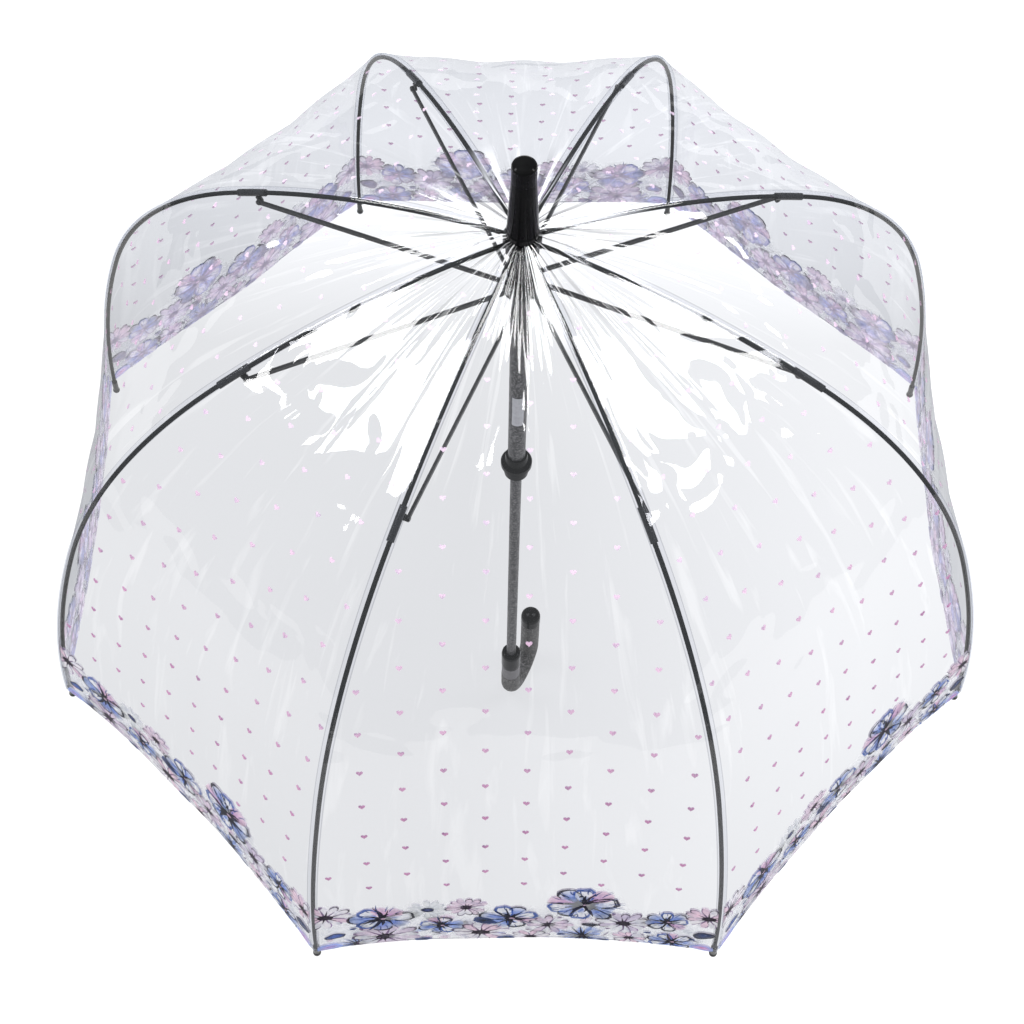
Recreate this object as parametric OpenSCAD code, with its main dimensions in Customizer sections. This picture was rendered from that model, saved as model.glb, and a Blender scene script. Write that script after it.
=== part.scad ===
// Clear dome umbrella, open: eight curved ribs folded by a runner and stretchers, crook handle.
// Millimetres. Z up, origin on the shaft axis at the height of the handle's lowest point.
// Rib k lies in the upright plane at 22.5 + 45 * (k - 1) degrees from +X.

/* [Ribs] */
// Distance from the shaft axis to each rib's fold pin
pivot_r = 10.5; // [9:0.1:14]
// Height of the fold pins
pivot_z = 789; // [600:1:1000]
// Rib rod diameter
rib_d = 3.5; // [2:0.1:5]
// Arc length of the inner rib length, crown to clamp
len_inner = 232; // [150:1:300]
// Arc length of the shoulder length
len_shoulder = 170; // [100:1:240]
// Arc length of the tighter start of the outer length
len_outer_a = 39; // [20:1:80]
// Arc length of the straighter remainder of the outer length
len_outer_b = 224; // [150:1:300]
// Slope below horizontal where the rib leaves the crown, degrees
slope_crown = 3; // [0:0.1:10]
// Slope at the clamp joint, degrees
slope_clamp = 25.4; // [15:0.1:35]
// Slope at the end of the shoulder, degrees
slope_shoulder = 62; // [50:0.1:70]
// Slope where the outer length straightens, degrees
slope_outer = 69; // [60:0.1:80]
// Slope at the tip, degrees
slope_tip = 86; // [75:0.1:92]

/* [Clamps and stretchers] */
// Arc length from the fold pin to the clamp's lug
lug_s = 210; // [150:1:260]
// Clamp sleeve length
clamp_len = 26; // [16:1:40]
// Clamp sleeve outside diameter
clamp_d = 5.6; // [5:0.1:8]
// Drop of the lug hole below the rib centreline
lug_drop = 5.5; // [4.5:0.1:8]
// Stretcher height in the plane of its swing
str_h = 3.4; // [2:0.1:5]
// Stretcher thickness
str_t = 2.2; // [1.5:0.1:3]
// Sideways offset of the stretcher from the rib plane
str_y = 4.5; // [4:0.1:6]

/* [Runner] */
// Height of the stretcher pins with the umbrella open
notch_z = 740; // [600:1:800]
// Distance of the stretcher pins from the shaft axis, along the swing
notch_x = 10.2; // [9:0.1:14]
// Runner tube outside diameter
tube_d = 15; // [12:0.1:20]
// Height of the runner tube's lower end with the umbrella open
tube_z = 475.5; // [300:1:600]
// Runner flange diameter
flange_d = 27; // [20:0.5:36]

/* [Shaft and ferrule] */
// Shaft diameter
shaft_d = 10; // [8:0.1:14]
// Ferrule length
ferrule_len = 73; // [40:1:100]
// Ferrule diameter at its foot
ferrule_d = 24; // [16:0.5:30]
// Ferrule diameter at its top
ferrule_top_d = 17.8; // [10:0.1:24]

/* [Canopy] */
// Gap from the rib centreline to the film
film_gap = 3.4; // [3:0.1:6]
// Film thickness as modelled
film_t = 0.3; // [0.2:0.05:1]
// Inward sag at the middle of a gore, as a share of its radius
film_sag = 0.019; // [0:0.001:0.05]
// Rise of the hem at the middle of a gore
hem_rise = 11; // [0:0.5:40]

/* [Handle] */
// Grip diameter
grip_d = 20; // [16:0.5:30]
// Radius of the crook's bend, to the centreline
bend_r = 25; // [20:0.5:60]
// Height of the centre of the bend
bend_z = 35; // [30:1:80]
// Height of the top of the band, where the collar begins
band_z = 80; // [60:1:120]
// Height of the collar's rim
collar_z = 110; // [80:1:140]
// Height of the hook's end cap joint
cap_z = 90; // [60:1:120]
// Direction of the hook from +X, degrees
hook_dir = 65; // [0:1:359]

/* [Show] */
// Sub-part to build

/* [Hidden] */
$fn = 64;
rr = rib_d / 2;
shaft_r = shaft_d / 2;
tube_r = tube_d / 2;
k_inner = (slope_clamp - slope_crown) / len_inner;
k_shoulder = (slope_shoulder - slope_clamp) / len_shoulder;
k_outer_a = (slope_outer - slope_shoulder) / len_outer_a;
k_outer_b = (slope_tip - slope_outer) / len_outer_b;
// Bend radius of an arc from its turn in degrees per millimetre
function bend(k) = 180 / (PI * k);
// Centre of the arc that starts at p with slope a
function centre(p, a, k) = [p[0] - bend(k) * sin(a), p[1] - bend(k) * cos(a)];
// Point on that arc where the slope is b
function along(p, a, k, b) = centre(p, a, k) + bend(k) * [sin(b), cos(b)];
p_crown = [pivot_r, pivot_z];
p_clamp = along(p_crown, slope_crown, k_inner, slope_clamp);
p_shoulder = along(p_clamp, slope_clamp, k_shoulder, slope_shoulder);
p_outer = along(p_shoulder, slope_shoulder, k_outer_a, slope_outer);
p_tip = along(p_outer, slope_outer, k_outer_b, slope_tip);
// Start of the outer length's straighter arc, lapped a little into the arc before it
p_lap = along(p_outer, slope_outer, k_outer_b, slope_outer - 0.2);
s_clamp = len_inner;
s_shoulder = s_clamp + len_shoulder;
s_outer = s_shoulder + len_outer_a;
s_tip = s_outer + len_outer_b;
lug_slope = slope_crown + k_inner * lug_s;
p_lug_rib = along(p_crown, slope_crown, k_inner, lug_slope);
p_lug = p_lug_rib - lug_drop * [sin(lug_slope), cos(lug_slope)];
str_len = norm(p_lug - [notch_x, notch_z]);
str_rise = atan2(p_lug[1] - notch_z, p_lug[0] - notch_x);
// Slope and point of the rib centreline at arc length s
function slope_at(s) =
  s < s_clamp ? slope_crown + k_inner * s :
  s < s_shoulder ? slope_clamp + k_shoulder * (s - s_clamp) :
  s < s_outer ? slope_shoulder + k_outer_a * (s - s_shoulder) :
  slope_outer + k_outer_b * (s - s_outer);
function point_at(s) =
  s < s_clamp ? along(p_crown, slope_crown, k_inner, slope_at(s)) :
  s < s_shoulder ? along(p_clamp, slope_clamp, k_shoulder, slope_at(s)) :
  s < s_outer ? along(p_shoulder, slope_shoulder, k_outer_a, slope_at(s)) :
  along(p_outer, slope_outer, k_outer_b, slope_at(s));

// Film stations down the gore: arc length and gap above the rib
film_s = [
  18, 34, 60, 95, 135, 175, 207, 232, 256, 280, 305, 330,
  355, 380, 402, 425, 450, 480, 515, 550, 585, 620, 656
];
film_u = [0, 0.09, 0.22, 0.36, 0.5, 0.64, 0.78, 0.91];
film_n = 8 * len(film_u);
film_rows = len(film_s) + 2;
function film_extra(s) = s < 40 ? (40 - s) * 0.09 : 0;
// Share of the hem rise felt by a row
function hem_share(i) = i < len(film_s) - 4 ? 0 : (i - len(film_s) + 5) / 4;
function arch(u) = 1 - pow(abs(2 * u - 1), 4);
// Point of the film, t above its inner face, at row i of the list and share u across gore g
function gore_point(i, g, u, t) =
  let (s = film_s[i] - hem_rise * hem_share(i) * arch(u))
  let (a = slope_at(s))
  let (off = film_gap + film_extra(s) + t)
  let (q = point_at(s) + off * [sin(a), cos(a)])
  let (sag = film_sag * q[0] * 4 * u * (1 - u) * min(1, (s - 10) / 120))
  let (rad = q[0] * cos(22.5) - sag * sin(a))
  let (tan_ = q[0] * sin(22.5) * (2 * u - 1))
  let (th = 45 * g)
  [rad * cos(th) - tan_ * sin(th), rad * sin(th) + tan_ * cos(th), q[1] - sag * cos(a)];
film_top_z = pivot_z + 4.1;
function disc_point(r, g, u, t) =
  [r * cos(45 * (g + u) - 22.5), r * sin(45 * (g + u) - 22.5), film_top_z + t];
function film_point(row, col, t) =
  let (g = floor(col / len(film_u)))
  let (u = film_u[col % len(film_u)])
  row == 0 ? disc_point(shaft_r + 0.2, g, u, t) :
  row == 1 ? disc_point(12, g, u, t) :
  gore_point(row - 2, g, u, t);

module in_rib_plane(k) {
  rotate([0, 0, 22.5 + 45 * (k - 1)]) children();
}
// Torus length whose centreline starts at p with slope a and ends at slope b
module arc_rod(p, a, k, b, r) {
  c = centre(p, a, k);
  translate([c[0], 0, c[1]])
    rotate([90, 0, 0])
      rotate([0, 0, 90 - b])
        rotate_extrude(angle = b - a)
          translate([bend(k), 0])
            circle(r = r);
}
// Puts children at p, with their Z axis along the rib at slope a
module at_rib(p, a) {
  translate([p[0], 0, p[1]])
    rotate([0, 90 + a, 0])
      children();
}
// Cylinder across the rib plane
module across(p, y0, y1, r) {
  translate([p[0], y1, p[1]])
    rotate([90, 0, 0])
      cylinder(h = y1 - y0, r = r);
}
// Rounded end on a rod
module round_end(p, r) {
  translate([p[0], 0, p[1]])
    sphere(r = r - 0.02);
}

module shaft() {
  color("dimgray")
    translate([0, 0, 45])
      cylinder(h = pivot_z + 62 - 45, r = shaft_r);
}

module ferrule() {
  z0 = film_top_z + film_t + 0.2;
  z1 = z0 + ferrule_len;
  rb = ferrule_d / 2;
  rt = ferrule_top_d / 2;
  color("black")
    difference() {
      rotate_extrude()
        polygon([
          [0, z0],
          [rb - 0.6, z0],
          [rb, z0 + 0.8],
          [rb, z0 + 6],
          [rb - 0.5, z0 + 8],
          [rt, z1 - 16],
          [rt, z1 - 2.2],
          [rt - 0.6, z1 - 0.9],
          [rt - 2, z1],
          [0, z1]
        ]);
      translate([0, 0, z0 - 1])
        cylinder(h = pivot_z + 62 - z0 + 1, r = shaft_r);
    }
}

module crown() {
  color("black")
    difference() {
      translate([0, 0, pivot_z - 7])
        cylinder(h = 10.8, r = 14);
      translate([0, 0, pivot_z - 8])
        cylinder(h = 13, r = shaft_r);
      for (k = [1 : 8])
        in_rib_plane(k) {
          translate([pivot_r - 2.7, -2, pivot_z - 8])
            cube([12, 4, 10.6]);
          across(p_crown, -2.9, 2.9, 0.82);
        }
    }
}

module crown_wire() {
  color("silver")
    for (k = [1 : 8])
      in_rib_plane(k)
        across(p_crown, -2.8, 2.8, 0.8);
}

module canopy() {
  rows = film_rows;
  n = film_n;
  inner = [for (i = [0 : rows - 1], c = [0 : n - 1]) film_point(i, c, 0)];
  outer = [for (i = [0 : rows - 1], c = [0 : n - 1]) film_point(i, c, film_t)];
  m = rows * n;
  out_a = [for (i = [0 : rows - 2], c = [0 : n - 1])
    [m + i * n + c, m + i * n + (c + 1) % n, m + (i + 1) * n + c]];
  out_b = [for (i = [0 : rows - 2], c = [0 : n - 1])
    [m + i * n + (c + 1) % n, m + (i + 1) * n + (c + 1) % n, m + (i + 1) * n + c]];
  in_a = [for (i = [0 : rows - 2], c = [0 : n - 1])
    [i * n + c, (i + 1) * n + c, i * n + (c + 1) % n]];
  in_b = [for (i = [0 : rows - 2], c = [0 : n - 1])
    [i * n + (c + 1) % n, (i + 1) * n + c, (i + 1) * n + (c + 1) % n]];
  l = (rows - 1) * n;
  hem_a = [for (c = [0 : n - 1]) [l + c, m + l + c, m + l + (c + 1) % n]];
  hem_b = [for (c = [0 : n - 1]) [l + c, m + l + (c + 1) % n, l + (c + 1) % n]];
  top_a = [for (c = [0 : n - 1]) [c, m + (c + 1) % n, m + c]];
  top_b = [for (c = [0 : n - 1]) [c, (c + 1) % n, m + (c + 1) % n]];
  color([0.9, 0.93, 0.95, 0.4])
    polyhedron(
      points = concat(inner, outer),
      faces = concat(out_a, out_b, in_a, in_b, hem_a, hem_b, top_a, top_b)
    );
}

module collar() {
  r = grip_d / 2;
  color("black")
    difference() {
      rotate_extrude()
        polygon([
          [0, band_z],
          [r, band_z],
          [r + 0.2, band_z + 4],
          [r + 0.2, collar_z - 5],
          [r - 0.4, collar_z - 1.6],
          [r - 1.4, collar_z - 0.4],
          [r - 2.4, collar_z],
          [0, collar_z]
        ]);
      translate([0, 0, band_z - 1])
        cylinder(h = 60, r = shaft_r);
      translate([0, 0, collar_z - 5])
        cylinder(h = 6, r1 = shaft_r + 1, r2 = shaft_r + 1.9);
    }
}

module grip_band() {
  color("gray")
    difference() {
      translate([0, 0, bend_z + 22])
        cylinder(h = band_z - bend_z - 22, r = grip_d / 2 - 0.3);
      translate([0, 0, bend_z + 21])
        cylinder(h = 60, r = shaft_r);
    }
}

module grip() {
  r = grip_d / 2;
  color([0.2, 0.2, 0.2])
    difference() {
      rotate([0, 0, hook_dir])
        union() {
          translate([0, 0, bend_z])
            cylinder(h = 22, r = r);
          translate([bend_r, 0, bend_z])
            rotate([90, 0, 0])
              rotate([0, 0, 180])
                rotate_extrude(angle = 180)
                  translate([bend_r, 0])
                    circle(r = r);
          translate([2 * bend_r, 0, bend_z])
            cylinder(h = cap_z - bend_z, r = r);
        }
      translate([0, 0, 45])
        cylinder(h = 60, r = shaft_r);
    }
}

module hook_cap() {
  r = grip_d / 2;
  color("black")
    rotate([0, 0, hook_dir])
      translate([2 * bend_r, 0, cap_z])
        rotate_extrude()
          polygon([
            [0, 0], [r, 0], [r + 0.4, 1], [r + 0.4, 12], [r - 0.2, 15.5],
            [r - 1.8, 18.2], [r - 4.6, 20], [r - 7.5, 20.7], [0, 21]
          ]);
}

module runner_tube() {
  color("dimgray")
    difference() {
      translate([0, 0, tube_z])
        cylinder(h = notch_z + 8 - tube_z, r = tube_r);
      translate([0, 0, tube_z - 1])
        cylinder(h = notch_z + 10 - tube_z, r = shaft_r + 0.06);
    }
}

module runner_notch() {
  color("black")
    union() {
      difference() {
        translate([0, 0, notch_z - 5])
          cylinder(h = 12.5, r = 14.6);
        translate([0, 0, notch_z - 6])
          cylinder(h = 16, r = tube_r);
        for (k = [1 : 8])
          in_rib_plane(k)
            translate([notch_x - 2.4, str_y - 1.45, notch_z - 2.8])
              cube([12, 2.9, 12]);
      }
      for (k = [1 : 8])
        in_rib_plane(k)
          across([notch_x, notch_z], str_y - 1.75, str_y + 1.75, 0.8);
    }
}

module runner_ring() {
  color("black")
    difference() {
      rotate_extrude()
        polygon([
          [tube_r, tube_z],
          [10, tube_z],
          [10.5, tube_z + 0.8],
          [10.5, tube_z + 8],
          [9.3, tube_z + 9.5],
          [9.3, tube_z + 11],
          [flange_d / 2 - 0.8, tube_z + 12],
          [flange_d / 2, tube_z + 13.4],
          [flange_d / 2, tube_z + 17.6],
          [flange_d / 2 - 0.8, tube_z + 19],
          [10.4, tube_z + 20.5],
          [9.2, tube_z + 28],
          [tube_r, tube_z + 28]
        ]);
    }
}

// Inner rib length: eye on the crown wire, rod to the clamp joint
module rib_inner(k) {
  a1 = slope_crown + k_inner * 1.4;
  color("black")
    in_rib_plane(k)
      difference() {
        union() {
          across(p_crown, -1.6, 1.6, 2.2);
          arc_rod(along(p_crown, slope_crown, k_inner, a1), a1, k_inner, slope_clamp, rr);
          round_end(p_clamp, rr);
        }
        across(p_crown, -5, 5, 0.86);
      }
}

// Rod from p to q with a hollow start that rolls on the round end before it
module rib_shoulder(k) {
  color("black")
    in_rib_plane(k)
      difference() {
        union() {
          arc_rod(p_clamp, slope_clamp, k_shoulder, slope_shoulder, rr);
          round_end(p_shoulder, rr);
        }
        translate([p_clamp[0], 0, p_clamp[1]])
          sphere(r = rr + 0.25);
      }
}

module rib_outer(k) {
  color("black")
    in_rib_plane(k)
      difference() {
        union() {
          arc_rod(p_shoulder, slope_shoulder, k_outer_a, slope_outer, rr);
          arc_rod(p_lap, slope_outer - 0.2, k_outer_b, slope_tip, rr - 0.02);
        }
        translate([p_shoulder[0], 0, p_shoulder[1]])
          sphere(r = rr + 0.25);
      }
}

// Sleeve bent to the rib, with a lug on one side for the stretcher
module clamp(k) {
  a0 = slope_crown + k_inner * (lug_s - clamp_len / 2 + 6);
  a1 = a0 + k_inner * clamp_len;
  p0 = along(p_crown, slope_crown, k_inner, a0);
  ea = slope_crown + k_inner * lug_s;
  color("black")
    in_rib_plane(k)
      difference() {
        union() {
          arc_rod(p0, a0, k_inner, a1, clamp_d / 2);
          across(p_lug, 1.2, 2.9, 2.4);
          translate([p_lug_rib[0], 0, p_lug_rib[1]])
            rotate([0, ea, 0])
              translate([-2.4, 1.2, -lug_drop])
                cube([4.8, 1.7, lug_drop - rr - 0.3]);
        }
        arc_rod(
          along(p_crown, slope_crown, k_inner, a0 - 1),
          a0 - 1, k_inner, a1 + 1, rr + 0.02
        );
        across(p_lug, 0, 5, 0.9);
      }
}

// Cap on the rod's end with a ball beyond it
module tip(k) {
  color("black")
    in_rib_plane(k)
      at_rib(p_tip, slope_tip)
        difference() {
          union() {
            translate([0, 0, -12])
              cylinder(h = 13, r = 2.6);
            translate([0, 0, 2.4])
              sphere(r = 3.3);
          }
          translate([0, 0, -14])
            cylinder(h = 14, r = rr + 0.12);
        }
}

module stretcher(k) {
  y0 = str_y - str_t / 2;
  y1 = str_y + str_t / 2;
  color("black")
    in_rib_plane(k)
      difference() {
        union() {
          across([notch_x, notch_z], y0, y1, 2.2);
          across(p_lug, y0, y1, 2.3);
          across(p_lug, y1 - 0.2, y1 + 0.6, 1.7);
          translate([notch_x, y0, notch_z])
            rotate([0, -str_rise, 0])
              translate([1, 0, -str_h / 2])
                cube([str_len - 2, str_t, str_h]);
        }
        across([notch_x, notch_z], y0 - 1, y1 + 2, 0.86);
      }
}

shaft();
ferrule();
crown();
crown_wire();
canopy();
collar();
grip_band();
grip();
hook_cap();
runner_tube();
runner_notch();
runner_ring();
rib_inner(1);  // rib_inner_1
rib_inner(2);  // rib_inner_2
rib_inner(3);  // rib_inner_3
rib_inner(4);  // rib_inner_4
rib_inner(5);  // rib_inner_5
rib_inner(6);  // rib_inner_6
rib_inner(7);  // rib_inner_7
rib_inner(8);  // rib_inner_8
clamp(1);  // clamp_1
clamp(2);  // clamp_2
clamp(3);  // clamp_3
clamp(4);  // clamp_4
clamp(5);  // clamp_5
clamp(6);  // clamp_6
clamp(7);  // clamp_7
clamp(8);  // clamp_8
rib_shoulder(1);  // rib_shoulder_1
rib_shoulder(2);  // rib_shoulder_2
rib_shoulder(3);  // rib_shoulder_3
rib_shoulder(4);  // rib_shoulder_4
rib_shoulder(5);  // rib_shoulder_5
rib_shoulder(6);  // rib_shoulder_6
rib_shoulder(7);  // rib_shoulder_7
rib_shoulder(8);  // rib_shoulder_8
rib_outer(1);  // rib_outer_1
rib_outer(2);  // rib_outer_2
rib_outer(3);  // rib_outer_3
rib_outer(4);  // rib_outer_4
rib_outer(5);  // rib_outer_5
rib_outer(6);  // rib_outer_6
rib_outer(7);  // rib_outer_7
rib_outer(8);  // rib_outer_8
tip(1);  // tip_1
tip(2);  // tip_2
tip(3);  // tip_3
tip(4);  // tip_4
tip(5);  // tip_5
tip(6);  // tip_6
tip(7);  // tip_7
tip(8);  // tip_8
stretcher(1);  // stretcher_1
stretcher(2);  // stretcher_2
stretcher(3);  // stretcher_3
stretcher(4);  // stretcher_4
stretcher(5);  // stretcher_5
stretcher(6);  // stretcher_6
stretcher(7);  // stretcher_7
stretcher(8);  // stretcher_8
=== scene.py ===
import math

import bmesh
import bpy
import numpy as np
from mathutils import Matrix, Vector


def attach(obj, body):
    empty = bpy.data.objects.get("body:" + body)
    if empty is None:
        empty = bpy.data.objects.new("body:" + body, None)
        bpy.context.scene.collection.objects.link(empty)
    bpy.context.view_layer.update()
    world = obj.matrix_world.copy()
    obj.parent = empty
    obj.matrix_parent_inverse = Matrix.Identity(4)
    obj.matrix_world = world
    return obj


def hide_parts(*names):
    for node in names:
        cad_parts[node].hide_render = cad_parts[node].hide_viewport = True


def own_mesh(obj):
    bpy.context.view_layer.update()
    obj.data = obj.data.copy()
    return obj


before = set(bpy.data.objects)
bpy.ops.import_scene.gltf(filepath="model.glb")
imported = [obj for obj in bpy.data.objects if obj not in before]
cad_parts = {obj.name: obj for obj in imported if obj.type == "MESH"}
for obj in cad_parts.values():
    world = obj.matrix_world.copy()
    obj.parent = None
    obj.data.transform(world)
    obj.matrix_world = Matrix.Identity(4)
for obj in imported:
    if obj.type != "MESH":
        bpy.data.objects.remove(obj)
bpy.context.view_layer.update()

MM = 0.001
rng = np.random.default_rng(11)

# ---------------------------------------------------------------- rib curve, as in the CAD model
PIVOT = (10.5, 789.0)  # radius and height where a rib starts (mm)
# arcs of the rib: length (mm), slope at its start and end (degrees from level)
ARCS = ((232.0, 3.0, 25.4), (170.0, 25.4, 62.0), (39.0, 62.0, 69.0), (224.0, 69.0, 86.0))
# arc lengths along the rib (mm): where the film starts, the clamp, the shoulder and the hem
S_START, S_CLAMP, S_SHOULDER, S_HEM = 6.0, 232.0, 402.0, 656.0
FILM_GAP = 3.55  # from the rib's centreline to the film (mm)
SAG = 0.019  # inward sag at the middle of a gore, as a share of its radius
HEM_RISE = 11.0  # rise of the hem at the middle of a gore (mm)
GORES = 8
HALF = math.radians(22.5)  # half the angle of a gore
CLAMPED_R, CLAMPED_Z = 5.3, 793.25  # inner edge of the film, clamped under the ferrule (mm)
ROW_STEP = 5.5  # mm between rows of the film's mesh
WELD_START, WELD_WIDE, HEM_WIDE = 22.0, 5.0, 1.6  # strips beside the ribs and along the hem (mm)
PRINT_LIFT = 0.25  # print's distance from the film's middle, each way (mm)


def rib_at(s):
    """Radius, height and slope of the rib centreline at arc length s (mm, radians)."""
    s = np.asarray(s, float)
    r, z, a = np.zeros_like(s), np.zeros_like(s), np.zeros_like(s)
    start, pr, pz = 0.0, *PIVOT
    for i, (length, a0, a1) in enumerate(ARCS):
        a0, a1 = math.radians(a0), math.radians(a1)
        bend = length / (a1 - a0)
        cr, cz = pr - bend * math.sin(a0), pz - bend * math.cos(a0)
        here = s >= start if i else np.ones_like(s, bool)
        ang = a0 + (s - start) / bend
        r = np.where(here, cr + bend * np.sin(ang), r)
        z = np.where(here, cz + bend * np.cos(ang), z)
        a = np.where(here, ang, a)
        pr, pz = cr + bend * math.sin(a1), cz + bend * math.cos(a1)
        start += length
    return r, z, a


def film_gap(s):
    """Distance from the rib's centreline to the film, wider near the crown (mm)."""
    return FILM_GAP + np.where(s < 40, (40 - s) * 0.09, 0.0)


# ripples of each gore: turn per mm down it, turns across it, phase, height
WAVES = [
    [
        (rng.uniform(0.012, 0.05), rng.uniform(0.5, 3.5), rng.uniform(0, 6.28), rng.uniform(0.5, 1.0))
        for _ in range(7)
    ]
    for _ in range(GORES)
]
# sharp folds of each gore: place across it, depth (mm), reach down it (mm)
FOLDS = [
    [(0.52, 1.5, 170.0)]
    + [(rng.uniform(0.12, 0.88), rng.uniform(0.5, 1.2), rng.uniform(80, 190)) for _ in range(4)]
    for _ in range(GORES)
]


def film(s, u, g, lift=0.0):
    """Film surface point (mm) at arc length s, share u across gore g, raised by lift along its face."""
    s, u = np.broadcast_arrays(np.asarray(s, float), np.asarray(u, float))
    arch = 1 - np.abs(2 * u - 1) ** 4
    s = s - HEM_RISE * arch * np.clip((s - 540) / (S_HEM - 540), 0, None) ** 1.5
    r, z, a = rib_at(s)
    off = film_gap(s) + lift
    r = r + off * np.sin(a)
    z = z + off * np.cos(a)
    sag = SAG * r * 4 * u * (1 - u) * np.clip((s - 10) / 120, 0, 1)
    mid = np.sin(np.pi * u)
    w = np.zeros_like(s)
    for fs, fu, ph, am in WAVES[g]:
        w += am * np.sin(fs * s + ph) * np.sin(2 * np.pi * fu * u + ph * 1.7)
    w *= 0.30 * mid * np.clip(s / 200, 0.2, 1)
    # creases gathered at the crown
    pleat = np.sin(2 * np.pi * 7 * u + g) * np.sin(2 * np.pi * 2.5 * u + 2 * g)
    w += 1.5 * pleat * mid * np.exp(-(((s - 35) / 55) ** 2))
    # a few sharp folds that run down from the crown and fade out
    for u0, deep, reach in FOLDS[g]:
        w += deep * np.exp(-(((u - u0) * np.clip(s, 30, None) / 2.6) ** 2)) * np.exp(-((s / reach) ** 2))
    # long ripples that run down from the shoulder
    bell = np.exp(-(((s - 330) / 110) ** 2))
    w += 1.1 * bell * mid * np.sin(2 * np.pi * (3.2 * u + 0.3 * np.sin(s / 50 + g)) + g * 1.3)
    low = np.clip((s - 380) / 80, 0, 1) * np.clip((640 - s) / 120, 0, 1)
    w += 0.45 * low * mid * np.sin(2 * np.pi * (4.3 * u + 0.25 * np.sin(s / 90 + 2 * g)) + g * 2.1)
    sag = sag - w
    rad = r * math.cos(HALF) - sag * np.sin(a)
    tan_ = r * math.sin(HALF) * (2 * u - 1)
    th = math.radians(45 * g)
    x = rad * math.cos(th) - tan_ * math.sin(th)
    y = rad * math.sin(th) + tan_ * math.cos(th)
    return np.stack([x, y, z - sag * np.cos(a)], -1)


def film_normals(s, u, g):
    """Outward unit normals of the film, from its slopes along and across the gore."""
    ds = film(s + 1.0, u, g) - film(s - 1.0, u, g)
    du = film(s, u + 0.004, g) - film(s, u - 0.004, g)
    n = np.cross(du, ds)
    n /= np.linalg.norm(n, axis=-1, keepdims=True)
    return -n if n.reshape(-1, 3)[:, 2].mean() < 0 else n


# ---------------------------------------------------------------- materials
def material(name):
    m = bpy.data.materials.new(name)
    m.use_nodes = True
    t = m.node_tree
    t.nodes.clear()
    out = t.nodes.new("ShaderNodeOutputMaterial")
    return m, t, out


def node(t, kind, links=(), **props):
    """Adds a node; props set its sockets (by name) or attributes, links feed its sockets."""
    n = t.nodes.new(kind)
    for k, v in props.items():
        if hasattr(n, k) and k not in n.inputs:
            setattr(n, k, v)
        else:
            n.inputs[k.replace("_", " ")].default_value = v
    for socket, src in links:
        t.links.new(src, n.inputs[socket])
    return n


def noise(t, scale, detail=3.0, rough=0.55, stretch=(1, 1, 1), distort=0.0):
    co = node(t, "ShaderNodeTexCoord")
    mp = node(t, "ShaderNodeMapping", [("Vector", co.outputs["Object"])])
    mp.inputs["Scale"].default_value = stretch
    n = node(t, "ShaderNodeTexNoise", [("Vector", mp.outputs[0])])
    n.inputs["Scale"].default_value = scale
    n.inputs["Detail"].default_value = detail
    n.inputs["Roughness"].default_value = rough
    n.inputs["Distortion"].default_value = distort
    return n.outputs["Fac"]


def ramp(t, fac, stops):
    r = node(t, "ShaderNodeValToRGB", [("Fac", fac)])
    e = r.color_ramp.elements
    e[0].position, e[0].color = stops[0][0], (*stops[0][1], 1)
    e[1].position, e[1].color = stops[-1][0], (*stops[-1][1], 1)
    for pos, col in stops[1:-1]:
        x = e.new(pos)
        x.color = (*col, 1)
    return r.outputs["Color"]


def bump(t, height, strength, distance):
    b = node(t, "ShaderNodeBump", [("Height", height)])
    b.inputs["Strength"].default_value = strength
    b.inputs["Distance"].default_value = distance
    return b.outputs["Normal"]


def solid(
    name, stops, scale, rough, metal=0.0, bump_scale=None, bump_strength=0.2, bump_dist=0.0002,
    shine=0.5, stretch=(1, 1, 1)
):
    """A solid surface: colour from noise through a ramp, roughness that varies, and fine bump."""
    m, t, out = material(name)
    p = node(t, "ShaderNodeBsdfPrincipled")
    t.links.new(ramp(t, noise(t, scale, 5, 0.6, stretch), stops), p.inputs["Base Color"])
    lo, hi = rough
    r = node(t, "ShaderNodeMapRange", [("Value", noise(t, scale * 0.35, 3))])
    r.inputs["From Min"].default_value, r.inputs["From Max"].default_value = 0.3, 0.7
    r.inputs["To Min"].default_value, r.inputs["To Max"].default_value = lo, hi
    t.links.new(r.outputs[0], p.inputs["Roughness"])
    p.inputs["Metallic"].default_value = metal
    p.inputs["Specular IOR Level"].default_value = shine
    if bump_scale:
        t.links.new(
            bump(t, noise(t, bump_scale, 4, 0.7, stretch), bump_strength, bump_dist), p.inputs["Normal"]
        )
    t.links.new(p.outputs[0], out.inputs["Surface"])
    return m


M_ROD = solid(
    "rib_paint", [(0.35, (0.005, 0.006, 0.005)), (0.65, (0.012, 0.013, 0.012))], 260, (0.28, 0.42), 0.0,
    900, 0.12, 0.0001, shine=0.06
)
M_STRUT = solid(
    "stretcher_paint", [(0.3, (0.014, 0.014, 0.014)), (0.7, (0.06, 0.06, 0.06))], 420, (0.3, 0.5), 0.3,
    1200, 0.25, 0.0002
)
M_TUBE = solid(
    "shaft_paint",
    [(0.34, (0.018, 0.018, 0.019)), (0.5, (0.07, 0.068, 0.07)), (0.64, (0.21, 0.205, 0.21))], 480,
    (0.35, 0.5), 0.35, 900, 0.3, 0.0002
)
M_GLOSS = solid(
    "gloss_black", [(0.3, (0.003, 0.003, 0.0032)), (0.7, (0.006, 0.006, 0.006))], 90, (0.08, 0.14), 0.0,
    300, 0.05, 0.0001, shine=0.08
)
M_FITTING = solid(
    "fitting_black", [(0.3, (0.008, 0.008, 0.008)), (0.7, (0.02, 0.02, 0.021))], 300, (0.22, 0.34), 0.0,
    600, 0.12, 0.0002
)
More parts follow.
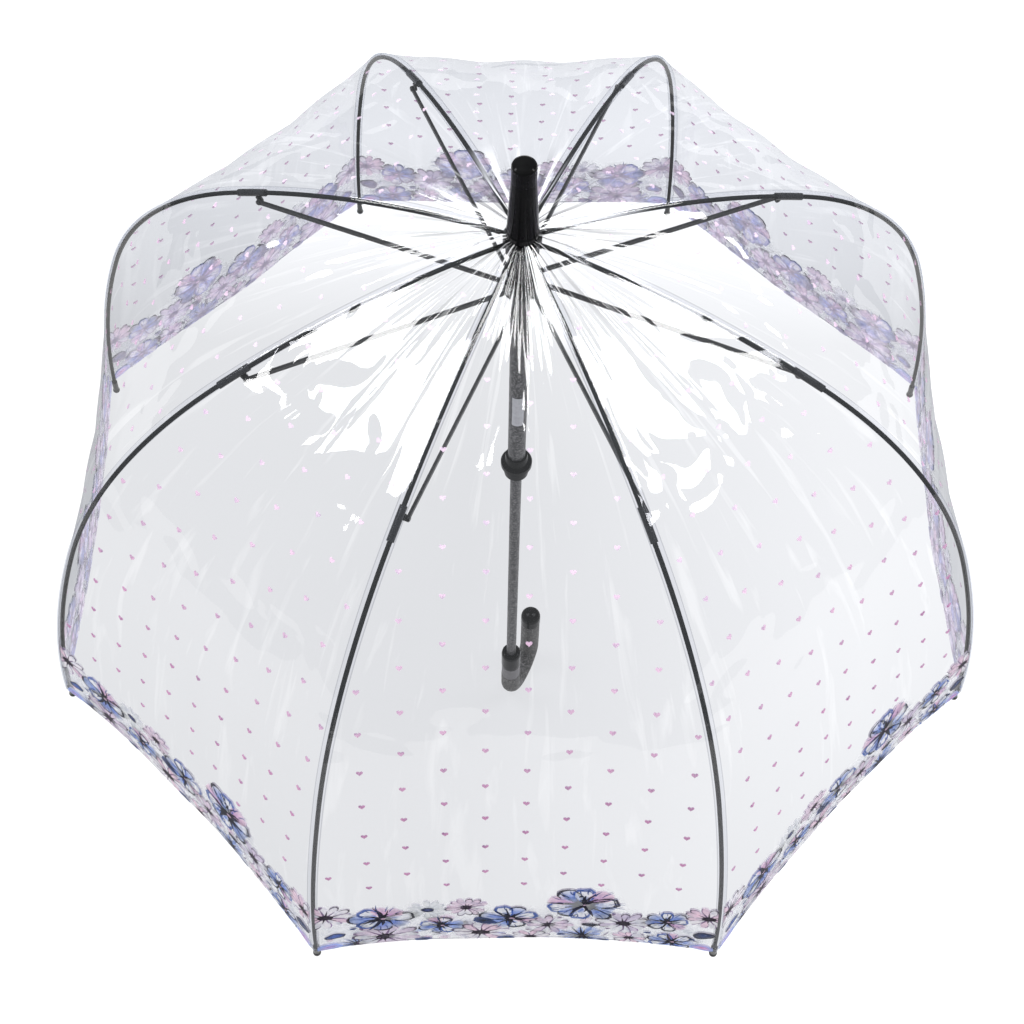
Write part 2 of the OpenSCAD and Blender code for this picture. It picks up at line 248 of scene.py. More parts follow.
M_BAND = solid(
    "band_grey", [(0.3, (0.12, 0.112, 0.118)), (0.7, (0.2, 0.19, 0.2))], 600, (0.38, 0.5), 0.2, 900,
    0.3, 0.0002
)
M_GRIP = solid(
    "grip_skin",
    [(0.36, (0.012, 0.012, 0.011)), (0.5, (0.06, 0.056, 0.053)), (0.64, (0.24, 0.23, 0.22))], 620,
    (0.45, 0.6), 0.0, 800, 0.6, 0.0004
)
M_WIRE = solid(
    "wire_steel", [(0.3, (0.4, 0.4, 0.4)), (0.7, (0.6, 0.6, 0.6))], 500, (0.25, 0.35), 1.0, 900, 0.1,
    0.0001
)
M_LABEL = solid(
    "label_white", [(0.3, (0.62, 0.62, 0.64)), (0.7, (0.8, 0.8, 0.82))], 300, (0.4, 0.55), 0.0, 900,
    0.1, 0.0001
)


def along(t, across, down):
    """Noise coordinates that run round the shaft axis and down the canopy, with the radius and height."""
    s = node(t, "ShaderNodeSeparateXYZ", [(0, node(t, "ShaderNodeTexCoord").outputs["Object"])])
    flat = node(t, "ShaderNodeCombineXYZ", [(0, s.outputs[0]), (1, s.outputs[1])])
    far = node(t, "ShaderNodeVectorMath", [(0, flat.outputs[0])], operation="LENGTH").outputs["Value"]
    unit = node(t, "ShaderNodeVectorMath", [(0, flat.outputs[0])], operation="NORMALIZE")
    side = node(t, "ShaderNodeVectorMath", [(0, unit.outputs[0])], operation="SCALE")
    side.inputs["Scale"].default_value = across
    drop = node(t, "ShaderNodeMath", [(0, far), (1, s.outputs[2])], operation="SUBTRACT")
    depth = node(t, "ShaderNodeMath", [(0, drop.outputs[0])], operation="MULTIPLY")
    depth.inputs[1].default_value = down
    lift = node(t, "ShaderNodeCombineXYZ", [(2, depth.outputs[0])])
    co = node(t, "ShaderNodeVectorMath", [(0, side.outputs[0]), (1, lift.outputs[0])], operation="ADD")
    return co.outputs[0], far, s.outputs[2]


def between(t, value, a, b, lo, hi):
    m = node(t, "ShaderNodeMapRange", [("Value", value)])
    for key, v in (("From Min", a), ("From Max", b), ("To Min", lo), ("To Max", hi)):
        m.inputs[key].default_value = v
    return m.outputs[0]


def gore_noise(t, across, down, detail, distort):
    co, far, up = along(t, across, down)
    n = node(t, "ShaderNodeTexNoise", [("Vector", co)])
    n.inputs["Scale"].default_value = 1.0
    n.inputs["Detail"].default_value = detail
    n.inputs["Distortion"].default_value = distort
    return n.outputs["Fac"], far, up


def film_material(name, tint, edge_tint, crinkle_and_painted_light=True, gloss_min=0.06, inked=False, gloss_max=0.13):
    """Clear film: tinted, glossier and darker where it is seen edge-on, the same from both sides; with its
    crinkles on it also gets painted shade and painted highlights in the pleats at the crown, and pale
    painted highlight streaks higher up.
    """
    m, t, out = material(name)
    lw = node(t, "ShaderNodeLayerWeight")
    lw.inputs["Blend"].default_value = 0.5
    edge = node(t, "ShaderNodeMath", [(0, lw.outputs["Facing"])], operation="POWER")
    edge.inputs[1].default_value = 3.0
    mix = node(t, "ShaderNodeMix", [("Factor", edge.outputs[0])], data_type="RGBA")
    mix.inputs[6].default_value = (*tint, 1)
    mix.inputs[7].default_value = (*edge_tint, 1)
    see = mix.outputs[2]
    if inked:
        line = node(t, "ShaderNodeMix", data_type="RGBA", blend_type="MULTIPLY")
        line.inputs[0].default_value = 1.0
        t.links.new(see, line.inputs[6])
        t.links.new(node(t, "ShaderNodeVertexColor", layer_name="ink").outputs["Color"], line.inputs[7])
        see = line.outputs[2]
    if crinkle_and_painted_light:
        # pleats gathered at the crown: painted shade (dark streaks) and painted highlights (bright streaks)
        # that fade out along the gore
        streak, far, up = gore_noise(t, 9.0, 5.0, 2.0, 0.3)
        reach = between(t, far, 0.02, 0.1, 1.0, 0.0)
        dark = node(
            t, "ShaderNodeMath", [(0, between(t, streak, 0.44, 0.37, 0.0, 0.75)), (1, reach)],
            operation="MULTIPLY"
        )
        shade = node(t, "ShaderNodeMix", [(0, dark.outputs[0])], data_type="RGBA")
        t.links.new(see, shade.inputs[6])
        shade.inputs[7].default_value = (0.2, 0.2, 0.21, 1)
        # pale streaks painted into the film's tint: painted highlights of its crinkles, stronger higher up
        fine, _, _ = gore_noise(t, 26.0, 8.0, 3.0, 0.5)
        streak_highlight_mask = node(
            t, "ShaderNodeMath",
            [(0, between(t, fine, 0.57, 0.68, 0.0, 0.3)), (1, between(t, up, 0.35, 0.7, 0.15, 1.0))],
            operation="MULTIPLY"
        )
        painted_streak_highlight = node(
            t, "ShaderNodeMix", [(0, streak_highlight_mask.outputs[0]), (6, shade.outputs[2])], data_type="RGBA"
        )
        painted_streak_highlight.inputs[7].default_value = (0.95, 0.955, 0.97, 1)
        see = painted_streak_highlight.outputs[2]
        # mask of the painted highlight: the bright pleat streaks near the crown
        pale = node(
            t, "ShaderNodeMath", [(0, between(t, streak, 0.56, 0.64, 0.0, 0.95)), (1, reach)],
            operation="MULTIPLY"
        )
    clear = node(t, "ShaderNodeBsdfTransparent", [("Color", see)])
    gloss = node(t, "ShaderNodeBsdfAnisotropic")
    gloss.inputs["Roughness"].default_value = 0.05
    gloss.inputs["Color"].default_value = (1, 1, 1, 1)
    power = node(t, "ShaderNodeMath", [(0, lw.outputs["Facing"])], operation="POWER")
    power.inputs[1].default_value = 5.0
    fr = node(t, "ShaderNodeMath", [(0, power.outputs[0])], operation="MULTIPLY_ADD")
    fr.inputs[1].default_value = gloss_max - gloss_min
    fr.inputs[2].default_value = gloss_min
    if crinkle_and_painted_light:
        crease, _, up = gore_noise(t, 5.0, 15.0, 1.2, 0.5)
        crinkle = bump(t, crease, 0.5, 0.017)
        calm = node(
            t, "ShaderNodeMath",
            [(0, between(t, up, 0.50, 0.72, 0.08, 0.6)), (1, between(t, up, 0.755, 0.78, 1.0, 0.12))],
            operation="MULTIPLY"
        )
        t.links.new(calm.outputs[0], crinkle.node.inputs["Strength"])
        t.links.new(crinkle, gloss.inputs["Normal"])
    mx = node(t, "ShaderNodeMixShader", [("Fac", fr.outputs[0])])
    t.links.new(clear.outputs[0], mx.inputs[1])
    t.links.new(gloss.outputs[0], mx.inputs[2])
    surface = mx
    if crinkle_and_painted_light:
        # painted highlight: a pale surface that glows, laid over the bright pleat streaks near the crown
        painted_pleat_glow = node(t, "ShaderNodeBsdfPrincipled")
        painted_pleat_glow.inputs["Base Color"].default_value = (0.92, 0.93, 0.95, 1)
        painted_pleat_glow.inputs["Roughness"].default_value = 0.25
        painted_pleat_glow.inputs["Emission Color"].default_value = (1, 1, 1, 1)
        painted_pleat_glow.inputs["Emission Strength"].default_value = 0.55
        surface = node(
            t, "ShaderNodeMixShader",
            [("Fac", pale.outputs[0]), (1, mx.outputs[0]), (2, painted_pleat_glow.outputs[0])]
        )
    t.links.new(surface.outputs[0], out.inputs["Surface"])
    return m


M_FILM = film_material("clear_film", (0.712, 0.72, 0.742), (0.60, 0.61, 0.63))
M_SEAM = film_material(
    "film_weld", (0.93, 0.935, 0.945), (0.72, 0.74, 0.76), crinkle_and_painted_light=False, gloss_min=0.04, inked=True,
    gloss_max=0.06
)
M_HEM = film_material("film_hem", (0.30, 0.30, 0.36), (0.25, 0.25, 0.3), crinkle_and_painted_light=False)


def ink(name, opacity, glow):
    """Ink whose colour is the mesh's own, mottled like watercolour, that also passes light from behind; it
    also glows in its own colour by glow, as painted light.
    """
    m, t, out = material(name)
    col = node(t, "ShaderNodeVertexColor", layer_name="ink")
    spots = ramp(
        t, noise(t, 210, 4, 0.65),
        [(0.32, (0.72, 0.74, 0.80)), (0.52, (1, 1, 1)), (0.7, (1.1, 1.08, 1.06))]
    )
    mul = node(t, "ShaderNodeMix", data_type="RGBA", blend_type="MULTIPLY")
    mul.inputs[0].default_value = 1.0
    t.links.new(col.outputs["Color"], mul.inputs[6])
    t.links.new(spots, mul.inputs[7])
    p = node(t, "ShaderNodeBsdfPrincipled", [("Base Color", mul.outputs[2])])
    p.inputs["Roughness"].default_value = 0.35
    p.inputs["Specular IOR Level"].default_value = 0.06
    # painted light: the ink glows in its own colour
    t.links.new(mul.outputs[2], p.inputs["Emission Color"])
    p.inputs["Emission Strength"].default_value = glow
    through = node(t, "ShaderNodeBsdfTranslucent", [("Color", mul.outputs[2])])
    both = node(t, "ShaderNodeMixShader", [(1, p.outputs[0]), (2, through.outputs[0])])
    both.inputs["Fac"].default_value = 0.4
    clear = node(t, "ShaderNodeBsdfTransparent")
    clear.inputs["Color"].default_value = (1, 1, 1, 1)
    mx = node(t, "ShaderNodeMixShader")
    a = node(t, "ShaderNodeMath", [(0, col.outputs["Alpha"])], operation="MULTIPLY")
    a.inputs[1].default_value = opacity
    t.links.new(a.outputs[0], mx.inputs["Fac"])
    t.links.new(clear.outputs[0], mx.inputs[1])
    t.links.new(both.outputs[0], mx.inputs[2])
    t.links.new(mx.outputs[0], out.inputs["Surface"])
    return m


# painted light: both prints glow in their own colour, the inside one more
M_INK = ink("print_ink", 0.93, 0.3)
M_INK_BACK = ink("print_back", 0.86, 0.8)

for name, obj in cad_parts.items():
    if name in ("shaft", "runner_tube"):
        mat = M_TUBE
    elif name.startswith("rib_"):
        mat = M_ROD
    elif name.startswith("stretcher"):
        mat = M_STRUT
    elif name.startswith(("clamp", "tip", "runner_notch", "crown")):
        mat = M_FITTING
    elif name == "grip":
        mat = M_GRIP
    elif name == "grip_band":
        mat = M_BAND
    else:
        mat = M_GLOSS
    if name == "crown_wire":
        mat = M_WIRE
    for face in obj.data.polygons:
        face.use_smooth = True
    obj.data.set_sharp_from_angle(angle=math.radians(32))
    for i in range(max(1, len(obj.material_slots))):
        if i < len(obj.material_slots):
            obj.material_slots[i].material = mat
        else:
            obj.data.materials.append(mat)


# ---------------------------------------------------------------- mesh helpers
def mesh_object(name, verts, faces, mat, normals=None, colours=None):
    me = bpy.data.meshes.new(name)
    me.from_pydata([tuple(v) for v in verts], [], faces)
    me.update()
    for p in me.polygons:
        p.use_smooth = True
    if normals is not None:
        me.normals_split_custom_set_from_vertices([tuple(n) for n in normals])
    if colours is not None:
        layer = me.color_attributes.new("ink", "FLOAT_COLOR", "POINT")
        layer.data.foreach_set("color", np.asarray(colours, "f").ravel())
    me.materials.append(mat)
    ob = bpy.data.objects.new(name, me)
    bpy.context.scene.collection.objects.link(ob)
    return ob


def grid_faces(rows, cols):
    return [
        (i * cols + j, (i + 1) * cols + j, (i + 1) * cols + j + 1, i * cols + j + 1)
        for i in range(rows - 1)
        for j in range(cols - 1)
    ]


# lengths of a gore: name, where it starts and ends along the rib, the body that carries it
SEGMENTS = (
    ("in", S_START, S_CLAMP, "rib_"),
    ("mid", S_CLAMP, S_SHOULDER, "rib_mid_"),
    ("end", S_SHOULDER, S_HEM, "rib_end_"),
)


def rib_of(g, side):
    """Rib number at a side of gore g: side 0 is the rib at u = 0."""
    return (g - 1 + side) % GORES + 1


def fold(piece, g, side, seg):
    """Rides a film piece on its rib's length."""
    name, s0, s1, body = SEGMENTS[seg]
    k = rib_of(g, side)
    r0, z0, _ = rib_at(np.array(s0))
    r1, z1, _ = rib_at(np.array(s1))
    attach(piece, f"{body}{k}")
    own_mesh(piece)


# ---------------------------------------------------------------- film
def row_values(s0, s1):
    """Arc lengths of the rows of mesh between two places along the rib."""
    return np.linspace(s0, s1, max(8, int((s1 - s0) / ROW_STEP)))


def build_film():
    for g in range(GORES):
        for side in (0, 1):
            for seg, (name, s0, s1, _) in enumerate(SEGMENTS):
                ss = row_values(s0, s1)
                cols = (45, 37, 29)[seg]
                us = np.linspace(0, 0.5, cols) if side == 0 else np.linspace(0.5, 1, cols)
                S, U = np.meshgrid(ss, us, indexing="ij")
                P = film(S, U, g).reshape(-1, 3) * MM
                N = film_normals(S, U, g).reshape(-1, 3)
                f = grid_faces(len(ss), len(us))
                ob = mesh_object(f"film_{name}_{g + 1}{'ab'[side]}", P, f, M_FILM, N)
                fold(ob, g, side, seg)
                # the rib curve sampled along this length, from the curve and not from this mesh; nothing is
                # made from it
                line = np.linspace(s0, s1, 200)
                r, _, a = rib_at(line)


def build_centre():
    """The gathered centre of the film, clamped under the ferrule."""
    rows, cols = 7, 96
    P = []
    for i in range(rows):
        for j in range(cols):
            g, u = divmod(j, cols // GORES)
            u = u / (cols // GORES)
            edge = film(np.array(S_START), np.array(u), g) * MM
            c = math.radians(45 * g - 22.5 + 45 * u)
            inner = np.array([CLAMPED_R * math.cos(c), CLAMPED_R * math.sin(c), CLAMPED_Z]) * MM
            k = i / (rows - 1)
            P.append(inner * (1 - k) + edge * k + np.array([0, 0, 0.0004 * math.sin(math.pi * k)]))
    faces = [
        (i * cols + j, (i + 1) * cols + j, (i + 1) * cols + (j + 1) % cols, i * cols + (j + 1) % cols)
        for i in range(rows - 1)
        for j in range(cols)
    ]
    disc = mesh_object("film_centre", P, faces, M_FILM)
    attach(disc, "frame")
    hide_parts("canopy")


build_film()
build_centre()


# ---------------------------------------------------------------- weld seams beside the ribs, and the hem
# places across the strip, and the darkness of its line at each
ACROSS = np.array([0.0, 0.1, 0.2, 0.32, 0.45, 0.6, 0.78, 0.84, 0.9, 0.96, 1.0])
LINE = np.array([1, 1, 1, 1, 1, 1, 1, 0.8, 0.74, 0.8, 1.0])


def weld(name, path_s, wide, g, side, seg):
    """Welded strip that rounds over the rib and lies flat beside it, with a fine line at its outer edge."""
    t = ACROSS if side == 0 else ACROSS[::-1]
    S, T = np.meshgrid(path_s, t, indexing="ij")
    r, _, a = rib_at(S)
    U = np.clip(wide * T / (2 * r * math.sin(HALF)), 0, 0.45)
    if side == 1:
        U = 1 - U
    lift = 0.14 + 0.75 * np.exp(-((T / 0.3) ** 2))
    P = film(S, U, g, lift)
    N = film_normals(S, U, g)
    th = math.radians(22.5 + 45 * (rib_of(g, side) - 1))
    top = np.stack([np.sin(a) * math.cos(th), np.sin(a) * math.sin(th), np.cos(a)], -1)
    away = np.array([-math.sin(th), math.cos(th), 0]) * (1 if side == 0 else -1)
    k = np.clip(1 - T / 0.55, 0, 1)[..., None]
    roll = np.sin(np.pi * np.clip(T / 0.55, 0, 1))[..., None]
    N = N * (1 - k) + top * k + 0.5 * roll * away
    N /= np.linalg.norm(N, axis=-1, keepdims=True)
    ink_line = np.repeat((LINE if side == 0 else LINE[::-1])[None, :], len(path_s), 0).reshape(-1)
    C = np.stack([ink_line, ink_line, ink_line * 1.02, np.ones_like(ink_line)], -1)
    ob = mesh_object(
        name, P.reshape(-1, 3) * MM, grid_faces(len(path_s), len(t)), M_SEAM, N.reshape(-1, 3), C
    )
    fold(ob, g, side, seg)


for g in range(GORES):
    for side in (0, 1):
        for seg, (name, s0, s1, _) in enumerate(SEGMENTS):
            weld(
                f"weld_{name}_{g + 1}{'ab'[side]}", row_values(max(s0, WELD_START), s1), WELD_WIDE, g,
                side, seg
            )
        # hem: a narrow doubled strip along the lower edge
        us = np.linspace(0.0, 0.5, 30) if side == 0 else np.linspace(0.5, 1.0, 30)
        S, U = np.meshgrid(np.linspace(S_HEM - HEM_WIDE, S_HEM, 4), us, indexing="ij")
        P = film(S, U, g, 0.2).reshape(-1, 3) * MM
        N = film_normals(S, U, g).reshape(-1, 3)
        ob = mesh_object(f"hem_{g + 1}{'ab'[side]}", P, grid_faces(4, 30), M_HEM, N)
        fold(ob, g, side, 2)


# ---------------------------------------------------------------- print
NAVY, BLUE, PALE = (0.004, 0.005, 0.02), (0.075, 0.17, 0.56), (0.30, 0.43, 0.80)
WHITE, PINK, MAUVE, DARK = (0.78, 0.79, 0.80), (0.72, 0.32, 0.50), (0.40, 0.25, 0.48), (0.014, 0.006, 0.02)


def mixc(a, b, k):
    """Colour a share k of the way from a to b."""
    return tuple(x * (1 - k) + y * k for x, y in zip(a, b))


class Print:
    """Collects flat shapes in gore coordinates: x across from the gore's middle, v up from the hem (mm)."""

    def __init__(self):
        self.v, self.c, self.f, self.own, self.layer = [], [], [], [], 0
        self.home = (0.0, 0.0)

    def fan(self, centre, ring, c_in, c_out, a_in=1.0, a_out=1.0, mids=(0.55,), c_mid=None):
        """Closed shape from its middle out to a ring of points, with rings of colour between."""
        self.layer += 1
        base = len(self.v)
        n = len(ring)
        self.v.append((*centre, self.layer))
        self.c.append((*c_in, a_in))
        levels = [*mids, 1.0]
        for k in levels:
            col = mixc(c_in, c_out, k) if c_mid is None or k == 1.0 else c_mid
            al = a_in * (1 - k) + a_out * k
            for p in ring:
                self.v.append(
                    (centre[0] + (p[0] - centre[0]) * k, centre[1] + (p[1] - centre[1]) * k, self.layer)
                )
                self.c.append((*col, al))
        self.own += [self.home] * (len(self.v) - base)
        for j in range(n):
            self.f.append((base, base + 1 + j, base + 1 + (j + 1) % n))
        for m in range(len(levels) - 1):
            o = base + 1 + m * n
            for j in range(n):
                self.f.append((o + j, o + n + j, o + n + (j + 1) % n, o + (j + 1) % n))

    def line(self, pts, wide, col, alpha=0.95, new=True):
        """Brush line through points; wide lists its half widths, spread evenly along it."""
        self.layer += 1 if new else 0
        base = len(self.v)
        n = len(pts)
        for i, (x, y) in enumerate(pts):
            x0, y0 = pts[max(i - 1, 0)]
            x1, y1 = pts[min(i + 1, n - 1)]
            d = math.hypot(x1 - x0, y1 - y0) or 1.0
            w = float(np.interp(i / (n - 1), np.linspace(0, 1, len(wide)), wide))
            nx, ny = -(y1 - y0) / d * w, (x1 - x0) / d * w
            self.v += [(x + nx, y + ny, self.layer), (x - nx, y - ny, self.layer)]
            self.c += [(*col, alpha)] * 2
        self.own += [self.home] * (2 * n)
        for i in range(n - 1):
            o = base + 2 * i
            self.f.append((o, o + 1, o + 3, o + 2))

    def petal_ring(self, c, ang, r0, r1, wide, notch=0.0, n=14):
        ca, sa = math.cos(ang), math.sin(ang)
        pts = []
        for k in range(n):
            t = 2 * math.pi * k / n
            x = (r0 + r1) / 2 + (r1 - r0) / 2 * math.cos(t)
            w = wide * math.sin(t) * (0.62 + 0.38 * math.cos(t - math.copysign(0.3, math.sin(t))))
            if notch and k == 0:
                x -= notch
            pts.append((c[0] + x * ca - w * sa, c[1] + x * sa + w * ca))
        return pts

    def petal(self, c, ang, r0, r1, wide, c_in, c_out, notch=0.0, tip=None, a_in=1.0, a_out=0.95):
        pts = self.petal_ring(c, ang, r0, r1, wide, notch)
        k = r0 + (r1 - r0) * 0.25
        self.fan(
            (c[0] + k * math.cos(ang), c[1] + k * math.sin(ang)), pts, c_in, c_out, a_in, a_out, (0.5,),
            tip
        )
        return pts

    def ray(self, c, ang, r0, r1, wide, col, bow=0.0, alpha=0.95, new=False):
        ca, sa = math.cos(ang), math.sin(ang)
        pts = []
        for k in range(5):
            t = k / 4
            x, b = r0 + (r1 - r0) * t, bow * math.sin(math.pi * t)
            pts.append((c[0] + x * ca - b * sa, c[1] + x * sa + b * ca))
        self.line(pts, wide, col, alpha, new)

    def blob(self, c, rx, ry, ang, c_in, c_out, a_in=1.0, a_out=1.0, wobble=0.12, n=16, seed=0):
        r = np.random.default_rng(seed)
        ph = r.uniform(0, 6.28, 3)
        pts = []
        for k in range(n):
            t = 2 * math.pi * k / n
            q = 1 + wobble * (
                math.sin(2 * t + ph[0]) + 0.6 * math.sin(3 * t + ph[1]) + 0.5 * math.sin(5 * t + ph[2])
            ) / 2
            x, y = rx * q * math.cos(t), ry * q * math.sin(t)
            pts.append(
                (c[0] + x * math.cos(ang) - y * math.sin(ang), c[1] + x * math.sin(ang) + y * math.cos(ang))
            )
        self.fan(c, pts, c_in, c_out, a_in, a_out)

    def heart(self, c, size, col, alpha=0.9):
        self.home = c
        pts = []
        for k in range(26):
            t = 2 * math.pi * k / 26
            x = 16 * math.sin(t) ** 3
            y = 13 * math.cos(t) - 5 * math.cos(2 * t) - 2 * math.cos(3 * t) - math.cos(4 * t)
            pts.append((c[0] + x * size / 32, c[1] + (y + 2.5) * size / 32))
        self.fan(c, pts, col, mixc(col, (0.42, 0.16, 0.38), 0.12), alpha, alpha, ())


def wash(p, c, R, seed, alpha=0.5):
    """Faint pale ground under a flower."""
    p.blob(c, R * 1.12, R * 1.08, 0, WHITE, WHITE, alpha, 0.0, 0.15, seed=seed + 900)


def big_flower(p, c, dia, seed, petals=9):
    """Broad petals, blue or white with a blue and navy edge, and thick navy strokes from a pink eye."""
    r = np.random.default_rng(seed)
    R = dia / 2
    p.home = c
    turn = r.uniform(0, 6.28)
    wash(p, c, R, seed)
    for k in range(petals):
        a = turn + 2 * math.pi * k / petals + r.uniform(-0.12, 0.12)
        rr = R * r.uniform(0.85, 1.08)
        wide = R * r.uniform(0.30, 0.40)
        kind = (k * 5 + seed) % 7
        if kind in (0, 3, 6):
            pts = p.petal(c, a, R * 0.06, rr, wide, BLUE, WHITE, R * 0.05, WHITE, 1.0, 0.8)
            edge = NAVY if kind == 0 else mixc(BLUE, NAVY, 0.35)
            p.line(pts[-4:] + pts[:6], (0.02 * R, 0.075 * R, 0.05 * R, 0.02 * R), edge)
            p.line(
                [pts[j] for j in (7, 8, 9, 10, 11)], (0.05 * R, 0.03 * R), mixc(BLUE, NAVY, 0.2),
                new=False
            )
        elif kind == 5:
            p.petal(
                c, a, R * 0.06, rr * 0.95, wide, mixc(PINK, BLUE, 0.35), mixc(PINK, WHITE, 0.5),
                R * 0.05, None, 1.0, 0.75
            )
        else:
            p.petal(
                c, a, R * 0.06, rr, wide, mixc(BLUE, WHITE, 0.12),
                mixc(PALE, WHITE, r.uniform(0.1, 0.9)), R * 0.06, mixc(BLUE, PALE, r.uniform(0.1, 0.9)),
                1.0, 0.5
            )
            if kind in (1, 4):
                pts = p.petal_ring(c, a, R * 0.1, rr, wide)
                p.line(pts[-2:] + pts[:4], (0.02 * R, 0.06 * R, 0.015 * R), NAVY)
    p.layer += 1
    for k in range(petals * 2):
        a = turn + math.pi * k / petals + r.uniform(-0.15, 0.15)
        far = R * (r.uniform(0.62, 0.98) if k % 2 else r.uniform(0.35, 0.6))
        p.ray(
            c, a, R * 0.08, far, (R * 0.075, R * (0.06 if k % 3 else 0.035), R * 0.012), NAVY,
            R * r.uniform(-0.08, 0.08)
        )
    p.layer += 1
    for k in range(petals * 2):
        a = turn + 0.2 + math.pi * k / petals + r.uniform(-0.1, 0.1)
        p.ray(
            c, a, R * r.uniform(0.5, 0.65), R * r.uniform(0.85, 1.08),
            (R * 0.008, R * 0.022, R * 0.008), mixc(NAVY, BLUE, 0.4), R * 0.03
        )
    p.blob(c, R * 0.2, R * 0.15, 0.3, DARK, NAVY, seed=seed)
    p.blob(
        (c[0] + R * 0.06, c[1] - R * 0.02), R * 0.09, R * 0.06, 0, (0.7, 0.45, 0.6), (0.7, 0.5, 0.65),
        seed=seed + 1
    )


def daisy(p, c, dia, seed, petals=12, tint=PINK, white=0.6, heart=DARK):
    """Narrow pale petals, some tinged, edged with thin dark lines, round a dark oval heart with spikes."""
    r = np.random.default_rng(seed)
    R = dia / 2
    p.home = c
    turn = r.uniform(0, 6.28)
    wash(p, c, R, seed)
    for k in range(petals):
        a = turn + 2 * math.pi * k / petals + r.uniform(-0.09, 0.09)
        rr = R * r.uniform(0.84, 1.06)
        tinged = r.uniform() > white
        out = mixc(tint, WHITE, 0.45 if tinged else 0.95)
        pts = p.petal(
            c, a, R * 0.14, rr, R * 0.2, mixc(tint, WHITE, 0.6 if tinged else 0.9), out, 0.0, None,
            0.95, 0.75
        )
        style = int(r.integers(0, 5))
        edge = mixc(heart, MAUVE, (0.05, 0.5, 0.2, 0.7, 0.4)[style])
        if style in (0, 2):
            p.line(pts[-3:] + pts[:4], (0.01 * R, 0.045 * R, 0.015 * R), edge, 0.9)
        if style in (1, 3):
            p.line(pts[1:7], (0.03 * R, 0.02 * R, 0.01 * R), edge, 0.85)
        if style == 4:
            p.line(pts[:3], (0.02 * R, 0.075 * R, 0.02 * R), edge, 0.9)
    p.layer += 1
    for k in range(petals):
        a = turn + 0.26 + 2 * math.pi * k / petals + r.uniform(-0.1, 0.1)
        p.ray(
            c, a, R * 0.1, R * r.uniform(0.36, 0.62 if k % 2 else 0.9),
            (R * 0.05, R * 0.028, R * 0.006), heart if k % 2 else mixc(heart, MAUVE, 0.4)
        )
    p.blob(c, R * 0.29, R * 0.2, r.uniform(-0.3, 0.3), heart, heart, seed=seed)


def grey_daisy(p, c, dia, seed):
    r = np.random.default_rng(seed)
    R = dia / 2
    p.home = c
    wash(p, c, R, seed, alpha=0.4)
    for k in range(11):
        a = 2 * math.pi * k / 11 + r.uniform(-0.1, 0.1)
        p.petal(
            c, a, R * 0.12, R * r.uniform(0.85, 1.03), R * 0.2, (0.66, 0.69, 0.68), (0.58, 0.61, 0.61),
            0.0, (0.72, 0.74, 0.74), 0.8, 0.6
        )
    p.blob(c, R * 0.30, R * 0.22, 0, (0.05, 0.07, 0.22), NAVY, seed=seed)


def spiky(p, c, dia, seed):
    """Many thin blue petals that end in points, with dark rays."""
    r = np.random.default_rng(seed)
    R = dia / 2
    p.home = c
    wash(p, c, R, seed)
    for k in range(16):
        a = 2 * math.pi * k / 16 + r.uniform(-0.14, 0.14)
        p.petal(
            c, a, R * 0.05, R * r.uniform(0.7, 1.08), R * 0.12, mixc(BLUE, NAVY, 0.2),
            mixc(PALE, WHITE, r.uniform(0, 0.8)), a_out=0.6
        )
    p.layer += 1
    for k in range(16):
        a = 0.2 + 2 * math.pi * k / 16 + r.uniform(-0.14, 0.14)
        p.ray(c, a, R * 0.08, R * r.uniform(0.45, 0.95), (R * 0.06, R * 0.035, R * 0.008), NAVY)
    p.blob(c, R * 0.15, R * 0.12, 0, DARK, NAVY, seed=seed)


def leaf(p, c, rx, ry, ang, c_in, c_out, seed):
    p.home = c
    p.blob(c, rx, ry, ang, c_in, c_out, 1.0, 0.95, 0.25, seed=seed)
    p.blob(
        (c[0] + rx * 0.2, c[1] + ry * 0.25), rx * 0.45, ry * 0.3, ang, mixc(c_in, PALE, 0.35), c_in,
        0.8, 0.2, 0.3, seed=seed + 1
    )


